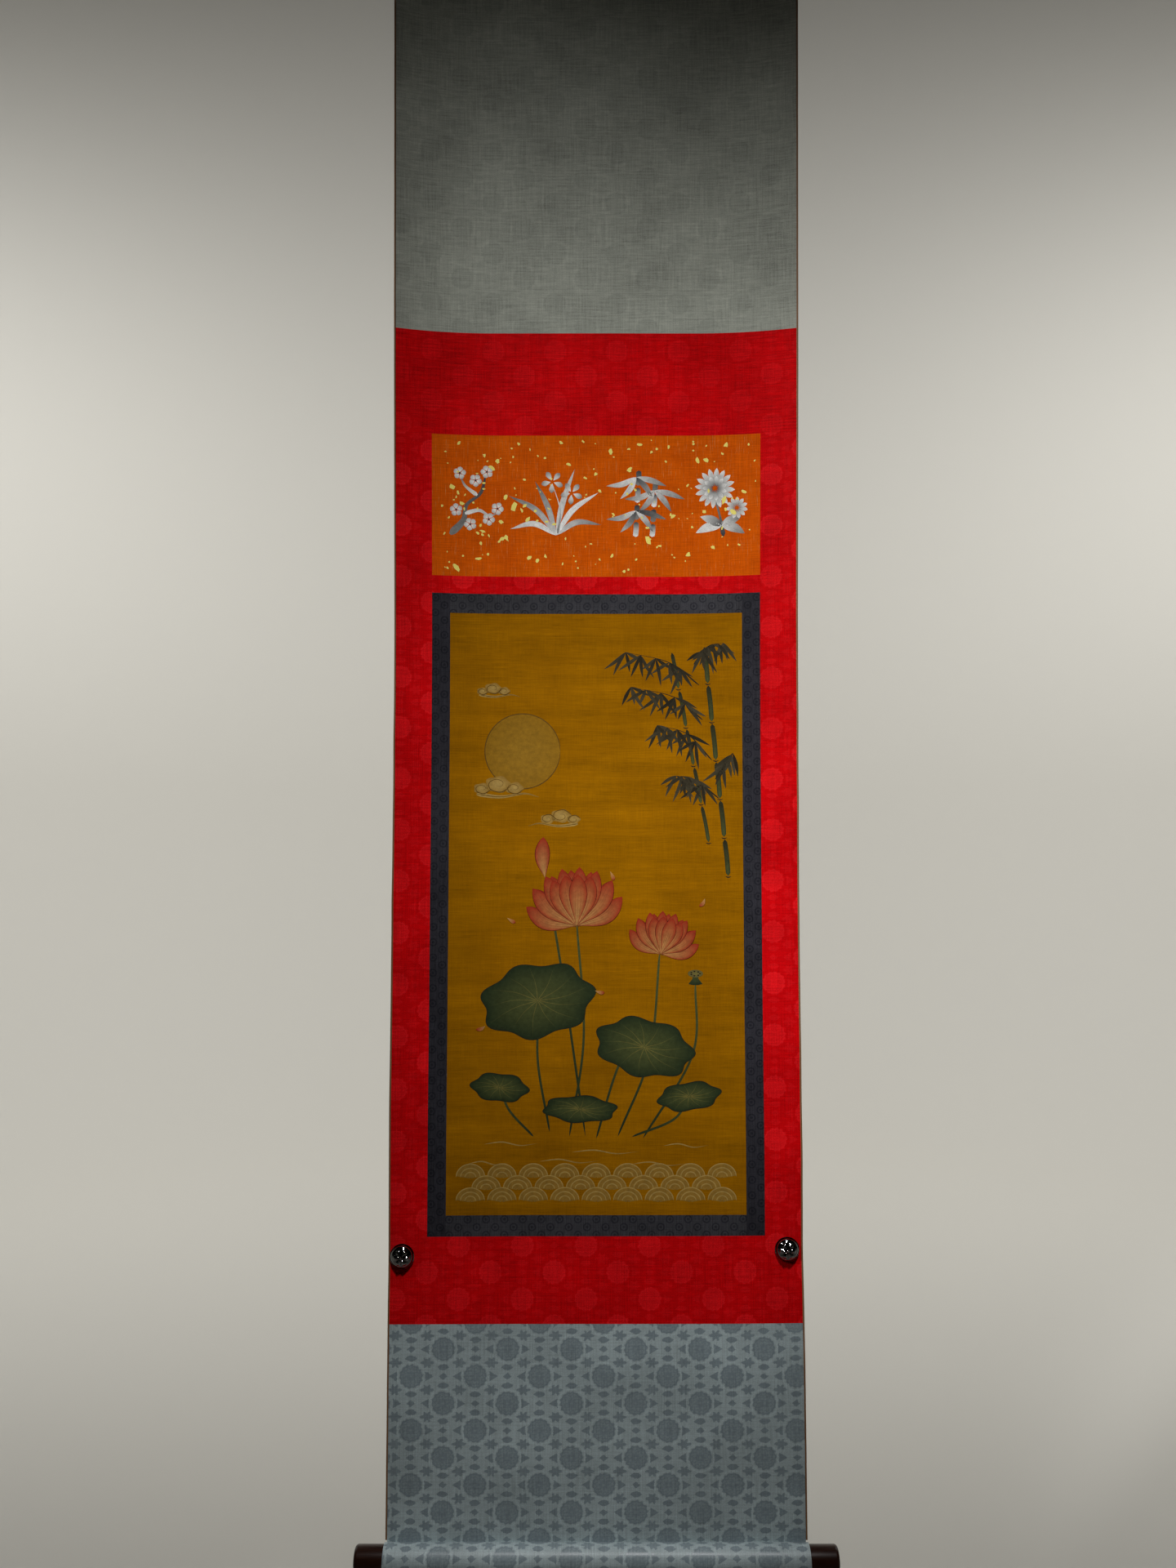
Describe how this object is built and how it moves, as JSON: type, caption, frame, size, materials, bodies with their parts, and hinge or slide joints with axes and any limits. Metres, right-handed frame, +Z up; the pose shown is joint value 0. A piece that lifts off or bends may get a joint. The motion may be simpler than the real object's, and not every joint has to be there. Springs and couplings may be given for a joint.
{
  "type": "hanging scroll picture",
  "caption": "Tall hanging scroll: a silk picture pieced into bands of figured silk, its foot wrapped round a knobbed roller and its sides pinned by domed studs.",
  "frame": {"origin": "centre of the cloth's top edge", "axes": "+Z up, +Y from the picture's face back towards the wall, +X to the right seen from the front"},
  "size_m": [0.5224, 0.0677, 1.798],
  "materials": {
    "grey_blue_silk": "figured silk with a soft sheen, grey-blue",
    "red_silk": "figured silk with a soft sheen, bright red",
    "dark_blue_silk": "small-figured silk, dark blue-grey",
    "gold_fleck_silk": "orange-brown silk with gold flecks",
    "picture_silk": "aged golden-brown silk, matt",
    "brown_edge": "brown turned edge, matt",
    "rod_wood": "plain pale wood",
    "lacquered_wood": "dark red-brown lacquer, glossy",
    "polished_metal": "polished dark metal"
  },
  "bodies": {
    "root": {"heaven_panel": "grey_blue_silk", "red_top_panel": "red_silk", "red_side_left": "red_silk", "red_side_right": "red_silk", "red_cross_strip": "red_silk", "red_bottom_panel": "red_silk", "gold_fleck_panel": "gold_fleck_silk", "blue_border_top": "dark_blue_silk", "blue_border_bottom": "dark_blue_silk", "blue_border_left": "dark_blue_silk", "blue_border_right": "dark_blue_silk", "picture_panel": "picture_silk", "earth_panel": "grey_blue_silk", "edge_binding_left": "brown_edge", "edge_binding_right": "brown_edge", "roller": "rod_wood", "knob_left": "lacquered_wood", "knob_right": "lacquered_wood", "stud_left": "polished_metal", "stud_right": "polished_metal"}
  },
  "joints": []
}
